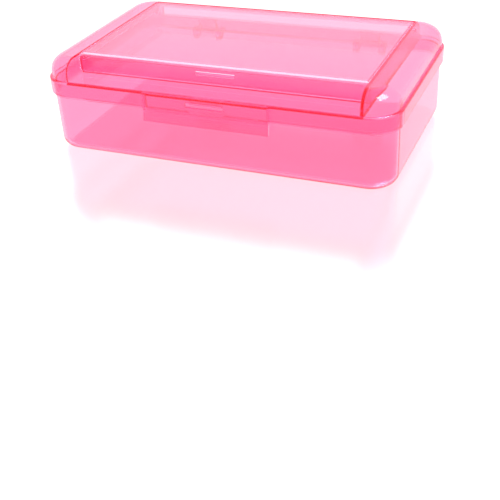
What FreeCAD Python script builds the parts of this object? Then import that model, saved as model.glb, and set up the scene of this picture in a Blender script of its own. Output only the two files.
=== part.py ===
import FreeCAD, Part
import os
import re

# Double-deck pencil case, three thin-walled injection mouldings:
#   base_box  the deep lower tray, with its landing ledge, catch rib and hinge lugs
#   lid_tray  the hinged lid whose top is a second, shallow tray between two end caps
#   top_lid   the clear panel that covers the shallow tray, hinged between the end caps
# +X runs along the case, -Y is the front (latch side), +Z is up.
# The origin is the centre of the flat underside.

doc = FreeCAD.newDocument("pencil_case")
sheet = doc.addObject("Spreadsheet::Sheet", "Sizes")

SIZES = [
    # overall
    ("case_length", 208.0),       # over the lid's skirt
    ("case_width", 124.0),
    ("corner_radius", 17.0),      # plan radius of the skirt
    ("deck_height", 43.0),        # top of the lid's flat deck and shoulder
    ("cap_height", 11.8),         # end caps and clear panel, above the deck
    # base box
    ("base_wall", 1.6),
    ("bottom_radius", 5.5),
    ("ledge_width", 1.1),
    ("ledge_thick", 1.0),
    ("rib_length", 19.0),         # each of the three short ribs behind the latch
    ("rib_proud", 1.1),
    ("rib_thick", 1.4),
    # main lid
    ("lid_wall", 1.3),
    ("deck_thick", 1.5),
    ("skirt_depth", 8.6),         # below the deck's top
    ("skirt_gap", 0.6),           # between the skirt and the base's lip, each side
    ("rest_gap", 0.3),            # between faces that only rest on each other
    ("shoulder_width", 1.4),      # flat ledge from the skirt's face to the caps
    ("edge_radius", 9.6),         # rounded upper edge of the end caps
    ("edge_soften", 0.7),
    ("cap_width", 19.0),          # from the skirt's end to the seam beside the clear panel
    ("front_strip", 17.5),        # bare deck in front of the shallow tray
    ("rear_strip", 7.5),          # from the skirt's back to the rear wall's front edge
    ("rear_clear", 0.15),         # from the rear wall's hollow to its rounded upper edge, at least
    ("rear_round", 3.0),
    # latch tongue
    ("tongue_width", 73.4),
    ("tongue_proud", 1.6),
    ("tongue_bend", 9.7),         # from the deck's top down to the bend
    ("tongue_lip", 6.2),
    ("tongue_flare", 10.0),       # degrees outwards
    ("slot_width", 22.4),
    ("slot_height", 2.6),
    ("slot_drop", 4.0),           # from the deck's top to the middle of the slot
    # clear top lid
    ("panel_thick", 1.5),
    ("panel_gap", 0.4),           # between the panel and each end cap
    ("rear_gap", 3.5),            # between the panel and the rear wall, for the panel to turn
    ("flap_gap", 1.2),            # between the flap and the tray's front wall
    ("flap_wall", 1.3),
    ("flap_clear", 2.0),          # from the deck up to the flap's lower edge
    ("front_wall_drop", 0.9),     # the tray's front wall stops below the panel's inner bend
    ("flap_radius", 4.0),         # the bend from the panel down to the flap
    ("flap_corner", 1.6),         # the flap's two lower corners
    ("rib_depth", 5.0),           # panel top to the underside of its side ribs
    ("rib_clear", 0.8),           # the side ribs start this far behind the front wall
    ("flap_slot_width", 23.0),
    ("flap_slot_height", 2.0),
    ("flap_slot_drop", 4.4),      # from the panel's top to the middle of the slot
    # hinges
    ("hinge_setback", 2.3),       # main hinge axis, behind the skirt
    ("hinge_drop", 1.8),          # main hinge axis, below the skirt's edge
    ("hinge_middle", 55.0),       # middle of each main hinge along the case
    ("barrel_radius", 2.4),
    ("barrel_length", 12.0),
    ("lug_thick", 3.6),
    ("lug_heel", 3.7),            # the heel behind the axis that stops the lid
    ("side_gap", 0.3),
    ("pin_radius", 1.3),
    ("pin_fit", 0.06),            # radial running clearance of both hinges
    ("top_axis_inset", 3.5),      # clear lid's hinge axis, in from the panel's back edge
    ("top_axis_drop", 5.0),       # and down from its top
    ("ear_radius", 2.6),
    ("pin_reach", 2.4),
]
for row, (alias, value) in enumerate(SIZES, start=1):
    sheet.set("A%d" % row, alias)
    sheet.set("B%d" % row, "%g" % value)
    sheet.setAlias("B%d" % row, alias)
doc.recompute()

ALIASES = [alias for alias, value in SIZES]

# places that several features share, worked out from the sizes above
PLACES = {
    "skirt_bottom": "deck_height - skirt_depth",
    "deck_under": "deck_height - deck_thick",
    "ledge_top": "skirt_bottom - rest_gap",
    "ledge_under": "ledge_top - ledge_thick",
    "lip_top": "deck_under - rest_gap",
    "lip_radius": "corner_radius - lid_wall - skirt_gap",
    "catch_height": "deck_height - slot_drop",
    "tongue_bottom": "deck_height - tongue_bend",
    "top_height": "deck_height + cap_height",
    "panel_under": "top_height - panel_thick",
    "rib_under": "top_height - rib_depth",
    "flap_bottom": "deck_height + flap_clear",
    "flap_slot_middle": "top_height - flap_slot_drop",
    "skirt_x": "case_length/2",
    "skirt_y": "case_width/2",
    "lip_x": "skirt_x - lid_wall - skirt_gap",
    "lip_y": "skirt_y - lid_wall - skirt_gap",
    "cap_x": "skirt_x - shoulder_width",
    "cap_y": "skirt_y - shoulder_width",
    "seam_x": "skirt_x - cap_width",
    "panel_x": "seam_x - panel_gap",
    "tray_front": "skirt_y - front_strip",
    "tray_back": "skirt_y - rear_strip",
    "flap_face": "tray_front + flap_gap + flap_wall",
    "flap_back": "flap_face - flap_wall",
    "rib_front": "tray_front - lid_wall - rib_clear",
    "panel_back": "tray_back - rear_gap",
    "hinge_y": "skirt_y + hinge_setback",
    "hinge_z": "skirt_bottom - hinge_drop",
    "top_axis_y": "panel_back - top_axis_inset",
    "top_axis_z": "top_height - top_axis_drop",
    "bore_radius": "pin_radius + pin_fit",
    # the rear wall's solid top is as deep as its rounded edge needs
    "rear_lip": "edge_radius - sqrt((edge_radius - rear_clear)^2 - (edge_radius - lid_wall)^2)",
}


def plain(text):
    """Spell a formula out in spreadsheet sizes only."""
    while any(word in PLACES for word in re.findall(r"[a-z_]+", text)):
        text = re.sub(r"[a-z_]+", lambda found: spelled(found.group(0)), text)
    return text


def spelled(word):
    return "(%s)" % PLACES[word] if word in PLACES else word


def bound(text):
    """Point every size named in a formula at its spreadsheet cell."""
    return re.sub(r"[a-z_]+", lambda found: named(found.group(0)), plain(text))


def named(word):
    return "Sizes." + word if word in ALIASES else word


def value(text):
    """Work the same formula out as a number, to find edges by where they lie."""
    total = re.sub(r"[a-z_]+", lambda found: counted(found.group(0)), plain(text))
    return FreeCAD.Units.Quantity(total).Value


def counted(word):
    return repr(float(sheet.get(word))) if word in ALIASES else word


def body(label):
    made = doc.addObject("PartDesign::Body", label)
    made.Label = label
    return made


def place(feature, corner):
    for axis, formula in zip("xyz", corner):
        feature.setExpression("Placement.Base." + axis, bound(formula))


def block(owner, kind, name, low, high):
    """An additive or subtractive box between two corners given as formulas."""
    feature = owner.newObject("PartDesign::%sBox" % kind, name)
    sizes = ["(%s) - (%s)" % pair for pair in zip(high, low)]
    for prop, formula in zip(("Length", "Width", "Height"), sizes):
        feature.setExpression(prop, bound(formula))
    place(feature, low)
    return feature


def centred(owner, kind, name, half_x, half_y, bottom, top):
    """A box centred on the case in plan."""
    low = ("-(%s)" % half_x, "-(%s)" % half_y, bottom)
    return block(owner, kind, name, low, (half_x, half_y, top))


def rod(owner, kind, name, radius, start, length):
    """A cylinder along +X from a start point given as formulas."""
    feature = owner.newObject("PartDesign::%sCylinder" % kind, name)
    feature.setExpression("Radius", bound(radius))
    feature.setExpression("Height", bound(length))
    along = FreeCAD.Rotation(FreeCAD.Vector(0, 1, 0), 90)
    feature.Placement = FreeCAD.Placement(FreeCAD.Vector(), along)
    place(feature, start)
    return feature


def slope(owner, name, corner, width, height, low_depth, high_depth):
    """Cuts a wedge away from a rear face: its depth changes from bottom to top."""
    feature = owner.newObject("PartDesign::SubtractiveWedge", name)
    bounds = {
        "Xmin": "0", "Xmax": width, "X2min": "0", "X2max": width,
        "Ymin": "0", "Ymax": height,
        "Zmin": "-0.05", "Zmax": low_depth, "Z2min": "-0.05", "Z2max": high_depth,
    }
    for prop, formula in bounds.items():
        feature.setExpression(prop, bound(formula))
    # the wedge's own Y is its height and its Z its depth, so it is stood up
    feature.Placement = FreeCAD.Placement(
        FreeCAD.Vector(), FreeCAD.Rotation(FreeCAD.Vector(1, 0, 0), 90))
    place(feature, corner)
    return feature


def combine(owner, tool, name, kind):
    """Cut one finished body out of another, or fuse it on."""
    doc.recompute()
    feature = owner.newObject("PartDesign::Boolean", name)
    feature.Type = kind
    feature.addObject(tool)
    owner.Tip = feature
    doc.recompute()
    return feature


def near(first, second):
    return abs(first - second) < 0.02


def upright(half_x, half_y):
    """Picks the four upright corner edges of a box centred on the case."""
    wide, deep = value(half_x), value(half_y)

    def test(edge):
        box = edge.BoundBox
        at_corner = near(abs(box.Center.x), wide) and near(abs(box.Center.y), deep)
        return at_corner and box.ZLength > 0.5 and box.XLength < 0.1 and box.YLength < 0.1
    return test


def level(height):
    """Picks the edges that lie flat at one height."""
    wanted = value(height)
    return lambda edge: near(edge.BoundBox.ZMin, wanted) and near(edge.BoundBox.ZMax, wanted)


def fillet(owner, name, radius, test):
    """Round the edges of the body's last feature that the test picks."""
    doc.recompute()
    last = owner.Tip
    picked = ["Edge%d" % n for n, edge in enumerate(last.Shape.Edges, 1) if test(edge)]
    if not picked:
        raise RuntimeError("no edges to round for " + name)
    feature = owner.newObject("PartDesign::Fillet", name)
    feature.Base = (last, picked)
    feature.setExpression("Radius", bound(radius))
    doc.recompute()
    return feature


# --- base box -------------------------------------------------------------------
base = body("base_box")
centred(base, "Additive", "walls", "lip_x", "lip_y", "0", "lip_top")
fillet(base, "wall_corners", "lip_radius", upright("lip_x", "lip_y"))
fillet(base, "bottom_edge", "bottom_radius", level("0"))
centred(base, "Additive", "ledge", "lip_x + ledge_width", "lip_y + ledge_width",
        "ledge_under", "ledge_top")
fillet(base, "ledge_corners", "lip_radius + ledge_width",
       upright("lip_x + ledge_width", "lip_y + ledge_width"))

cavity = body("base_cavity")
centred(cavity, "Additive", "cavity", "lip_x - base_wall", "lip_y - base_wall",
        "base_wall", "lip_top + 1")
fillet(cavity, "cavity_corners", "lip_radius - base_wall",
       upright("lip_x - base_wall", "lip_y - base_wall"))
fillet(cavity, "cavity_floor", "bottom_radius - base_wall + 0.4", level("base_wall"))
combine(base, cavity, "hollow", "Cut")

# behind the latch the ledge stops, and three short ribs take its place
block(base, "Subtractive", "ledge_break",
      ("-(rib_length*1.5 + rib_thick)", "-lip_y - ledge_width - 1", "ledge_under - 0.5"),
      ("rib_length*1.5 + rib_thick", "-lip_y", "ledge_top + 0.5"))
for number, name in ((-1, "guide_rib_left"), (1, "guide_rib_right")):
    middle = "%d*(rib_length + rib_thick/2)" % number
    block(base, "Additive", name,
          (middle + " - rib_length/2", "-lip_y - rib_proud*0.8", "ledge_under"),
          (middle + " + rib_length/2", "0.4 - lip_y", "ledge_top"))
block(base, "Additive", "catch_rib",
      ("-rib_length/2", "-lip_y - rib_proud", "catch_height - rib_thick/2"),
      ("rib_length/2", "0.4 - lip_y", "catch_height + rib_thick/2"))

# two hinges, each a pair of lugs with a heel that stops the lid from behind
for side, hinge in ((-1, "left"), (1, "right")):
    for hand, lug in ((-1, "a"), (1, "b")):
        reach = "(barrel_length/2 + side_gap + lug_thick/2)"
        low_x = "%d*hinge_middle + %d*%s - lug_thick/2" % (side, hand, reach)
        name = "lug_%s_%s" % (hinge, lug)
        block(base, "Additive", name,
              (low_x, "lip_y - 0.4", "hinge_z - barrel_radius*2"),
              (low_x + " + lug_thick", "hinge_y + lug_heel", "ledge_top - rest_gap/3"))
        rod(base, "Additive", name + "_eye", "barrel_radius", (low_x, "hinge_y", "hinge_z"), "lug_thick")
        slope(base, name + "_slope",
              (low_x + " - 0.1", "hinge_y + lug_heel + 0.01", "hinge_z - barrel_radius*2 - 0.01"),
              "lug_thick + 0.2", "barrel_radius*1.7", "lug_heel + hinge_setback", "0")
        rod(base, "Subtractive", name + "_bore", "bore_radius",
            (low_x + " - 0.1", "hinge_y", "hinge_z"), "lug_thick + 0.2")

# --- main lid with its shallow tray ---------------------------------------------
lid = body("lid_tray")
centred(lid, "Additive", "skirt", "skirt_x", "skirt_y", "skirt_bottom", "deck_height")
fillet(lid, "skirt_corners", "corner_radius", upright("skirt_x", "skirt_y"))
fillet(lid, "shoulder_edge", "edge_soften", level("deck_height"))

dome = body("cap_dome")
centred(dome, "Additive", "caps", "cap_x", "cap_y", "deck_height - deck_thick/2", "top_height")
fillet(dome, "cap_corners", "corner_radius - shoulder_width", upright("cap_x", "cap_y"))
fillet(dome, "cap_edges", "edge_radius", level("top_height"))
combine(lid, dome, "caps_on_deck", "Fuse")

under = body("skirt_cavity")
centred(under, "Additive", "skirt_inside", "skirt_x - lid_wall", "skirt_y - lid_wall",
        "skirt_bottom - 1", "deck_under")
fillet(under, "skirt_inside_corners", "corner_radius - lid_wall",
       upright("skirt_x - lid_wall", "skirt_y - lid_wall"))
combine(lid, under, "skirt_hollow", "Cut")

# the shallow tray between the caps, open at the front down to the deck
block(lid, "Subtractive", "tray",
      ("-seam_x", "-cap_y - 1", "deck_height"), ("seam_x", "tray_back", "top_height + 1"))
block(lid, "Subtractive", "rear_hollow",
      ("-seam_x", "tray_back - 0.1", "deck_height"),
      ("seam_x", "cap_y - lid_wall", "top_height - rear_lip"))


def rear_ridge(edge):
    """The hollow's upper rear edge."""
    box = edge.BoundBox
    high = near(box.ZMin, value("top_height - rear_lip")) and box.ZLength < 0.1
    return high and near(box.YMin, value("cap_y - lid_wall")) and box.XLength > value("seam_x")


fillet(lid, "rear_hollow_round", "rear_round", rear_ridge)

# each end cap is hollow, open to the box below
for side, name in ((-1, "left"), (1, "right")):
    ends = [side * value("seam_x + lid_wall"), side * value("cap_x - lid_wall")]
    spans = ("seam_x + lid_wall", "cap_x - lid_wall")
    if side < 0:
        spans = ("lid_wall - cap_x", "-seam_x - lid_wall")
    core = body("cap_core_" + name)
    block(core, "Additive", "core_" + name,
          (spans[0], "lid_wall - cap_y", "deck_under - 0.5"),
          (spans[1], "cap_y - lid_wall", "top_height - lid_wall"))

    def outer_corner(edge):
        box = edge.BoundBox
        return box.ZLength > 1 and box.XLength < 0.1 and near(box.Center.x, ends[1])

    def outer_rim(edge):
        box = edge.BoundBox
        high = near(box.ZMin, value("top_height - lid_wall")) and box.ZLength < 0.1
        return high and not near(box.Center.x, ends[0])
    fillet(core, "core_corners_" + name, "corner_radius - shoulder_width - lid_wall", outer_corner)
    fillet(core, "core_rim_" + name, "edge_radius - lid_wall", outer_rim)
    combine(lid, core, "cap_hollow_" + name, "Cut")

block(lid, "Additive", "tray_front_wall",
      ("-seam_x - 0.2", "-tray_front", "deck_height - 0.2"),
      ("seam_x + 0.2", "lid_wall - tray_front", "panel_under - front_wall_drop"))
block(lid, "Additive", "flap_catch",
      ("1 - flap_slot_width/2", "-tray_front - 0.8", "flap_slot_middle - 0.5"),
      ("flap_slot_width/2 - 1", "0.2 - tray_front", "flap_slot_middle + 0.5"))

# the latch tongue stands proud of the skirt and is hollow behind
block(lid, "Additive", "tongue",
      ("-tongue_width/2", "-skirt_y - tongue_proud", "tongue_bottom"),
      ("tongue_width/2", "0.1 - skirt_y", "deck_height"))
block(lid, "Subtractive", "tongue_inside",
      ("lid_wall - tongue_width/2", "lid_wall - skirt_y - tongue_proud", "tongue_bottom - 1"),
      ("tongue_width/2 - lid_wall", "lid_wall + 0.1 - skirt_y", "deck_under"))
lip = block(lid, "Additive", "tongue_lip",
            ("-tongue_width/2", "-skirt_y - tongue_proud", "tongue_bottom - tongue_lip"),
            ("tongue_width/2", "lid_wall - skirt_y - tongue_proud", "tongue_bottom"))
# the lip hangs from the bend, so it is turned about that line
lip.Placement.Rotation = FreeCAD.Rotation(FreeCAD.Vector(1, 0, 0), 1)
lip.setExpression("Placement.Rotation.Angle", bound("-tongue_flare"))
flare = bound("tongue_lip") + "*%s(" + bound("tongue_flare") + "*1deg)"
lip.setExpression("Placement.Base.y", bound("-skirt_y - tongue_proud") + " - " + flare % "sin")
lip.setExpression("Placement.Base.z", bound("tongue_bottom + 0.05") + " - " + flare % "cos")
block(lid, "Subtractive", "tongue_slot",
      ("-slot_width/2", "-skirt_y - tongue_proud - 1", "catch_height - slot_height/2"),
      ("slot_width/2", "lid_wall + 0.2 - skirt_y - tongue_proud", "catch_height + slot_height/2"))

# main hinge: an arm down to a barrel, with a moulded pin at each end of it
for side, name in ((-1, "left"), (1, "right")):
    low_x = "%d*hinge_middle - barrel_length/2" % side
    block(lid, "Additive", "arm_" + name,
          (low_x, "skirt_y - 0.1", "hinge_z"),
          (low_x + " + barrel_length", "hinge_y + barrel_radius", "deck_height - 2"))
    slope(lid, "arm_slope_" + name,
          (low_x + " - 0.1", "hinge_y + barrel_radius + 0.01", "hinge_z"),
          "barrel_length + 0.2", "deck_height - 2 - hinge_z + 0.1",
          "0", "hinge_setback + barrel_radius - 1")
    rod(lid, "Additive", "barrel_" + name, "barrel_radius", (low_x, "hinge_y", "hinge_z"), "barrel_length")
    rod(lid, "Additive", "pins_" + name, "pin_radius",
        (low_x + " - side_gap - lug_thick", "hinge_y", "hinge_z"),
        "barrel_length + 2*side_gap + 2*lug_thick")

# bores for the clear lid's pins, through the inner wall of each cap
rod(lid, "Subtractive", "top_bores", "bore_radius",
    ("-seam_x - lid_wall - 0.5", "top_axis_y", "top_axis_z"), "2*seam_x + 2*lid_wall + 1")

# --- clear top lid --------------------------------------------------------------
top = body("top_lid")
block(top, "Additive", "panel", ("-panel_x", "-flap_face", "flap_bottom"),
      ("panel_x", "panel_back", "top_height"))


def flap_bend(edge):
    box = edge.BoundBox
    return near(box.YMax, -value("flap_face")) and near(box.ZMin, value("top_height"))


fillet(top, "flap_bend", "flap_radius", flap_bend)
block(top, "Subtractive", "below_ribs",
      ("-panel_x - 1", "-flap_back", "flap_bottom - 1"), ("panel_x + 1", "panel_back + 1", "rib_under"))
block(top, "Subtractive", "behind_flap",
      ("-panel_x - 1", "-flap_back", "flap_bottom - 1"), ("panel_x + 1", "-rib_front", "panel_under"))
block(top, "Subtractive", "between_ribs",
      ("flap_wall - panel_x", "-flap_back", "rib_under - 1"),
      ("panel_x - flap_wall", "panel_back + 1", "panel_under"))


def bend_inside(edge):
    box = edge.BoundBox
    at_bend = near(box.YMax, -value("flap_back")) and near(box.ZMin, value("panel_under"))
    return at_bend and box.XLength > value("panel_x")


def flap_corner(edge):
    box = edge.BoundBox
    low = near(box.ZMin, value("flap_bottom")) and near(box.ZMax, value("flap_bottom"))
    return low and box.XLength < 0.1 and box.YLength > 1


fillet(top, "bend_inside", "flap_radius - flap_wall", bend_inside)
fillet(top, "flap_corners", "flap_corner", flap_corner)
block(top, "Subtractive", "flap_slot",
      ("-flap_slot_width/2", "-flap_face - 1", "flap_slot_middle - flap_slot_height/2"),
      ("flap_slot_width/2", "0.2 - flap_back", "flap_slot_middle + flap_slot_height/2"))
for side, name in ((-1, "left"), (1, "right")):
    ear_x = "panel_x - flap_wall" if side > 0 else "-panel_x"
    pin_x = "panel_x - 0.2" if side > 0 else "-panel_x - pin_reach"
    rod(top, "Additive", "ear_" + name, "ear_radius", (ear_x, "top_axis_y", "top_axis_z"), "flap_wall")
    rod(top, "Additive", "pin_" + name, "pin_radius", (pin_x, "top_axis_y", "top_axis_z"), "pin_reach + 0.2")

doc.recompute()

PIECES = [base, lid, top]
for thing in doc.Objects:
    if "Invalid" in thing.State or "Error" in thing.State:
        raise RuntimeError("%s did not compute: %s" % (thing.Label, thing.State))
for piece in PIECES:
    shape = piece.Shape
    if shape.isNull() or not shape.isValid() or len(shape.Solids) != 1:
        raise RuntimeError("%s is not one valid solid" % piece.Label)

os.makedirs("parts", exist_ok=True)
for piece in PIECES:
    piece.Shape.exportStep("parts/%s.step" % piece.Label)
    box = piece.Shape.BoundBox
    spans = (box.XMin, box.XMax, box.YMin, box.YMax, box.ZMin, box.ZMax)
    print("%-10s x %.1f..%.1f  y %.1f..%.1f  z %.1f..%.1f" % ((piece.Label,) + spans),
          " volume %.0f mm3" % piece.Shape.Volume)
print("main hinge axis  y %.3f  z %.3f" % (value("hinge_y"), value("hinge_z")))
print("clear lid's axis y %.3f  z %.3f" % (value("top_axis_y"), value("top_axis_z")))
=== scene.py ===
# %% [markdown]
# # Double-deck pencil case
# A translucent pink case in three injection mouldings: a deep box, a hinged lid whose top is a shallow
# tray between two rounded end caps, and a paler panel with a turned-down front that closes the tray.
# The three CAD solids are the frame of this scene: each piece below is a finer copy of one of them, and
# stays in its place.

# %% The frame, in metres
import math
import bmesh
import bpy
from mathutils import Matrix, Vector


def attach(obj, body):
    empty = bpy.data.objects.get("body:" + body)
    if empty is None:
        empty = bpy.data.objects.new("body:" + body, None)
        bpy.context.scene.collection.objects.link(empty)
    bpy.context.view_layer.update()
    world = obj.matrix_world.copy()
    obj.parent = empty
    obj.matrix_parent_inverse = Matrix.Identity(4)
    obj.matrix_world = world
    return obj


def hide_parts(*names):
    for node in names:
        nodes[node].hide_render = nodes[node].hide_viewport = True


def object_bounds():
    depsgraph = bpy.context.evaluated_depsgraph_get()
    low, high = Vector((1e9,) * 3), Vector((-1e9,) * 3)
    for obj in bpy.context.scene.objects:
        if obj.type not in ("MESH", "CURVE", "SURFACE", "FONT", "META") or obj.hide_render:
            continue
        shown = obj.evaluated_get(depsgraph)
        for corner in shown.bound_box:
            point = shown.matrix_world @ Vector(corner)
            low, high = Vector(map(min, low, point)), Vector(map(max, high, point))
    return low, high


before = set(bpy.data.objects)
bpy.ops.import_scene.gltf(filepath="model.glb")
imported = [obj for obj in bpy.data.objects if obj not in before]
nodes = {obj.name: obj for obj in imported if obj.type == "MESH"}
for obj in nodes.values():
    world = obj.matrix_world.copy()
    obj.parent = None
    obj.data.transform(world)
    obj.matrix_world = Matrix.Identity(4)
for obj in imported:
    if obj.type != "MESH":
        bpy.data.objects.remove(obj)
cad_low, cad_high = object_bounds()
scene = bpy.context.scene
MM = 0.001
case_middle = (cad_low + cad_high) / 2
print("case %.1f x %.1f x %.1f mm" % tuple((cad_high - cad_low) / MM))

# %% [markdown]
# ## Camera
# The case is looked down on from its front right. A camera is easiest to place by where it stands and
# by the direction it looks in, so its turn comes from an azimuth, an elevation and a small roll. The
# long focal length keeps the box's sides nearly parallel, as a product shot does.

# %% Camera
CAMERA_AT = Vector((199.3, -457.2, 227.5)) * MM
AZIMUTH, ELEVATION, ROLL = math.radians(24.24), math.radians(32.38), math.radians(-3.5)
FOCAL_LENGTH_MM, SENSOR_MM = 64.37, 36.0
NEAR_CLIP = 20 * MM

level = Vector((math.sin(AZIMUTH), -math.cos(AZIMUTH), 0)) * math.cos(ELEVATION)
backwards = level + Vector((0, 0, math.sin(ELEVATION)))
turn = backwards.to_track_quat("Z", "Y").to_matrix() @ Matrix.Rotation(ROLL, 3, "Z")
camera_data = bpy.data.cameras.new("camera")
camera_data.lens = FOCAL_LENGTH_MM
camera_data.sensor_width = SENSOR_MM
camera_data.clip_start = NEAR_CLIP
camera = bpy.data.objects.new("camera", camera_data)
camera.matrix_world = Matrix.Translation(CAMERA_AT) @ turn.to_4x4()
scene.collection.objects.link(camera)
scene.camera = camera
print("camera %.0f mm from the case" % ((CAMERA_AT - case_middle).length / MM))

# %% [markdown]
# ## Softened edges
# No mould has a perfectly sharp corner: the steel is rounded by a quarter of a millimetre or so, and on
# clear plastic that rounding is what draws each edge as a thin bright line. The CAD solids are exact
# but sharp, so each one is copied, its loose triangles are merged and joined into whole flat faces, and
# only edges that turn by more than a fillet's own steps are bevelled. A Weighted Normal modifier then
# keeps the large faces optically flat, which matters for glass-like plastic, because a bent normal
# bends what is seen through it.

# %% A copy of a CAD solid with moulded edges
MERGE_WITHIN = 0.002 * MM
FLAT_WITHIN = math.radians(0.5)
SHARP_FROM = math.radians(35)
EDGE_ROUND = 0.25 * MM
LARGEST_FACE_DECIDES = 100


def moulded(node, name, body):
    """A soft-edged piece that stands for one CAD node."""
    mesh = bmesh.new()
    mesh.from_mesh(nodes[node].data)
    bmesh.ops.remove_doubles(mesh, verts=mesh.verts, dist=MERGE_WITHIN)
    bmesh.ops.dissolve_limit(mesh, angle_limit=FLAT_WITHIN, verts=mesh.verts, edges=mesh.edges)
    sharp = [edge for edge in mesh.edges if edge.is_manifold and edge.calc_face_angle() > SHARP_FROM]
    bmesh.ops.bevel(mesh, geom=sharp, offset=EDGE_ROUND, offset_type="OFFSET", segments=2, profile=0.5,
                    affect="EDGES", clamp_overlap=True, material=-1)
    for face in mesh.faces:
        face.smooth = True
    volume = mesh.calc_volume() / MM ** 3
    data = bpy.data.meshes.new(name)
    mesh.to_mesh(data)
    mesh.free()
    piece = bpy.data.objects.new(name, data)
    scene.collection.objects.link(piece)
    flat = piece.modifiers.new("flat faces stay flat", "WEIGHTED_NORMAL")
    flat.mode = "FACE_AREA"
    flat.weight = LARGEST_FACE_DECIDES
    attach(piece, body)
    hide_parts(node)
    print("%s: %d edges softened, %.0f mm3 of plastic" % (name, len(sharp), volume))
    return piece


# %% The three mouldings
box = moulded("base_box", "deep_box", "box")
lid = moulded("lid_tray", "tray_lid", "main_lid")
panel = moulded("top_lid", "clear_flap_lid", "clear_lid")

# %% [markdown]
# ## Helpers for materials
# Colours are picked in the sRGB hex form that a paint chart gives, while shaders work in linear light,
# so one function turns the one into the other. A second one adds a shader node with its settings and
# its links, and a third starts a material with an empty node tree.

# %% A colour


def linear(code):
    """A hex sRGB colour as linear light, with an alpha of one."""
    parts = [int(code[n:n + 2], 16) / 255 for n in (1, 3, 5)]
    return [p / 12.92 if p <= 0.04045 else ((p + 0.055) / 1.055) ** 2.4 for p in parts] + [1.0]


WHITE = linear("#FFFFFF")
print("a middle grey of #808080 is %.3f in linear light" % linear("#808080")[0])

# %% A node and a material


def add(tree, kind, settings=(), **inputs):
    """Adds a node. A setting is one of its attributes. An input is a value or another node's socket, and is
    named by its label with _ for a space, or by its number as in _0."""
    made = tree.nodes.new("ShaderNode" + kind)
    for name, setting in dict(settings).items():
        setattr(made, name, setting)
    for name, given in inputs.items():
        socket = made.inputs[int(name[1:]) if name[1:].isdigit() else name.replace("_", " ")]
        if isinstance(given, bpy.types.NodeSocket):
            tree.links.new(given, socket)
        else:
            socket.default_value = given
    return made


def new_material(name):
    """A material without nodes, and its tree."""
    made = bpy.data.materials.new(name)
    made.use_nodes = True
    made.node_tree.nodes.clear()
    return made, made.node_tree


# %% [markdown]
# ## Dyed polypropylene
# The case is clarified polypropylene, the nearly clear kind that stays tough enough for a latch, with a
# pink dye through its whole thickness. The dye lets all red through and takes green most, then blue, so
# that one wall is pale pink, two are stronger, and a wall seen edge-on goes nearly red. Part of the
# tint is therefore a volume, as absorption per metre, and the rest is given to the surface, where it
# colours a thin wall evenly at any slant. The outside of each moulding comes off polished steel, and
# the inside off a finely blasted core, which leaves it satin and blurs what lies behind. A face is
# inside when it looks towards the middle of the case. The plastic's IOR is 1.49, but in an all-white
# room that lays a white haze over thin walls, so a lower one is used.

# %% The dye and the two surface finishes
DYE = "#FF59C0"
POLYPROPYLENE_IOR = 1.33
POLISHED = 0.03
# slow unevenness of a cooled wall
WAVE_MM, WAVE_DEPTH_MM = 30.0, 0.002
# blasting grain of the core, drawn coarser than the real one so that it shows
GRAIN_MM, GRAIN_DEPTH_MM = 0.9, 0.001
# patches dulled by handling: their size, the share of the noise that they take, and their roughness
SCUFF_MM = 14.0
SCUFF_FROM, SCUFF_FULL, SCUFF_ROUGHNESS = 0.45, 0.75, 0.035


def dyed_polypropylene(name, tint, dye_per_metre, satin):
    """Polypropylene with its dye in the volume, polished outside and satin inside."""
    made, tree = new_material(name)
    place = add(tree, "TexCoord").outputs["Object"]
    normal = add(tree, "NewGeometry").outputs["Normal"]
    away = add(tree, "VectorMath", {"operation": "SUBTRACT"}, _0=place, _1=case_middle)
    facing_out = add(tree, "VectorMath", {"operation": "DOT_PRODUCT"}, _0=away.outputs[0], _1=normal)
    inside = add(tree, "Math", {"operation": "LESS_THAN"}, _0=facing_out.outputs["Value"], _1=0.0)
    scuffs = add(tree, "TexNoise", Vector=place, Scale=1 / (SCUFF_MM * MM), Detail=5.0, Roughness=0.62)
    scuffed = add(tree, "MapRange", Value=scuffs.outputs[0], From_Min=SCUFF_FROM, From_Max=SCUFF_FULL,
                  To_Min=0.0, To_Max=SCUFF_ROUGHNESS)
    finish = add(tree, "MapRange", Value=inside.outputs[0], To_Min=POLISHED, To_Max=satin)
    rough = add(tree, "Math", {"operation": "ADD"}, _0=finish.outputs[0], _1=scuffed.outputs[0])
    waves = add(tree, "TexNoise", Vector=place, Scale=1 / (WAVE_MM * MM), Detail=1.0)
    wavy = add(tree, "Bump", Strength=1.0, Distance=WAVE_DEPTH_MM * MM, Height=waves.outputs[0])
    grain = add(tree, "TexNoise", Vector=place, Scale=1 / (GRAIN_MM * MM), Detail=2.0)
    grained = add(tree, "Bump", Strength=inside.outputs[0], Distance=GRAIN_DEPTH_MM * MM,
                  Height=grain.outputs[0], Normal=wavy.outputs[0])
    shader = add(tree, "BsdfPrincipled", Base_Color=linear(tint), Roughness=rough.outputs[0],
                 IOR=POLYPROPYLENE_IOR, Transmission_Weight=1.0, Normal=grained.outputs[0])
    dye = add(tree, "VolumeAbsorption", Color=linear(DYE), Density=dye_per_metre)
    add(tree, "OutputMaterial", Surface=shader.outputs[0], Volume=dye.outputs[0])
    print("%s: %d nodes, dye %.0f per metre, inside roughness %.2f"
          % (name, len(tree.nodes), dye_per_metre, satin))
    return made


# %% [markdown]
# ## Three shades of one plastic
# The box and the lid are the same pink, with a little more dye in the lid. The panel has much less, and
# its inside is frosted, so that the tray shows through it only as a blur.

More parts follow.
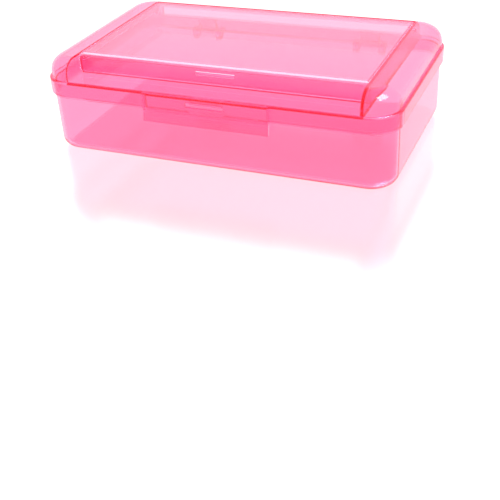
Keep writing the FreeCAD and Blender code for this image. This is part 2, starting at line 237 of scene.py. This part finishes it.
# %% The plastic of each moulding
SHADES = [
    # piece, slot, material, surface tint, dye per metre, roughness inside
    (box, "pink_box", "pink_polypropylene_box", "#FFD6E6", 130.0, 0.12),
    (lid, "pink_lid", "pink_polypropylene_lid", "#FFD1E4", 150.0, 0.20),
    (panel, "pale_lid", "pale_polypropylene_panel", "#FFE3EE", 60.0, 0.85),
]
for piece, slot, name, tint, dye_per_metre, satin in SHADES:
    piece.data.materials.clear()
    piece.data.materials.append(dyed_polypropylene(name, tint, dye_per_metre, satin))

# %% [markdown]
# ## Floor
# The case stands on a sheet of white cast acrylic that is lit from below, like a light table, so it has
# no dark shadow and sends white light up through the plastic. Its satin top adds a faint reflection of
# the case. It lies a hair below the case, because two faces in one plane would fight over which is
# seen. A plain grid is enough for it, because it is flat.

# %% The white acrylic floor
FLOOR_HALF = 3.0
FLOOR_GAP = 0.2 * MM
SURROUND = 1.25
SHINE_SHARE, SHINE_ROUGHNESS = 0.5, 0.20

floor_mesh = bpy.data.meshes.new("floor")
sheet = bmesh.new()
bmesh.ops.create_grid(sheet, x_segments=1, y_segments=1, size=FLOOR_HALF)
sheet.to_mesh(floor_mesh)
sheet.free()
floor = bpy.data.objects.new("floor", floor_mesh)
floor.location.z = -FLOOR_GAP
scene.collection.objects.link(floor)

acrylic, tree = new_material("white_cast_acrylic")
glow = add(tree, "Emission", Color=WHITE, Strength=SURROUND)
shine = add(tree, "BsdfGlossy", Color=WHITE, Roughness=SHINE_ROUGHNESS)
both = add(tree, "MixShader", _0=SHINE_SHARE, _1=glow.outputs[0], _2=shine.outputs[0])
add(tree, "OutputMaterial", Surface=both.outputs[0])
floor_mesh.materials.append(acrylic)
print("floor %.0f m wide" % (2 * FLOOR_HALF))

# %% [markdown]
# ## Light
# Clear plastic has almost no colour of its own under one lamp: it shows what is round it. A white
# surround on all sides, as bright as the floor, lights the dye from behind, and one softbox adds the
# highlight on a rounded cap.

# %% White surround and softbox
SOFTBOX_AT = Vector((520, -140, 740)) * MM
SOFTBOX_AIM = Vector((0, 0, 30)) * MM
SOFTBOX_WIDE, SOFTBOX_HIGH = 500 * MM, 400 * MM
SOFTBOX_WATTS = 10.0

world = bpy.data.worlds.new("white surround")
scene.world = world
world.use_nodes = True
background = world.node_tree.nodes["Background"]
background.inputs["Color"].default_value = WHITE
background.inputs["Strength"].default_value = SURROUND

softbox_data = bpy.data.lights.new("softbox", "AREA")
softbox_data.shape = "RECTANGLE"
softbox_data.size, softbox_data.size_y = SOFTBOX_WIDE, SOFTBOX_HIGH
softbox_data.energy = SOFTBOX_WATTS
softbox = bpy.data.objects.new("softbox", softbox_data)
softbox.location = SOFTBOX_AT
softbox.rotation_mode = "QUATERNION"
softbox.rotation_quaternion = (SOFTBOX_AT - SOFTBOX_AIM).to_track_quat("Z", "Y")
scene.collection.objects.link(softbox)
print("softbox %.0f mm from the case" % ((SOFTBOX_AT - case_middle).length / MM))

# %% [markdown]
# ## Enough bounces
# Light that enters a thin clear wall at an edge runs inside it like in an optical fibre, and leaves
# only after dozens of reflections. With too few bounces such edges turn black instead of red, so the
# limits are high. The glossy filter is off, because it roughens glass for indirect light and loses a
# good part of it. The Standard view keeps the white surround white.

# %% Bounces and tone
EDGE_BOUNCES = 256
scene.cycles.max_bounces = EDGE_BOUNCES
scene.cycles.glossy_bounces = EDGE_BOUNCES
scene.cycles.transmission_bounces = EDGE_BOUNCES
scene.cycles.blur_glossy = 0.0
scene.view_settings.view_transform = "Standard"
print("up to %d bounces" % scene.cycles.max_bounces)
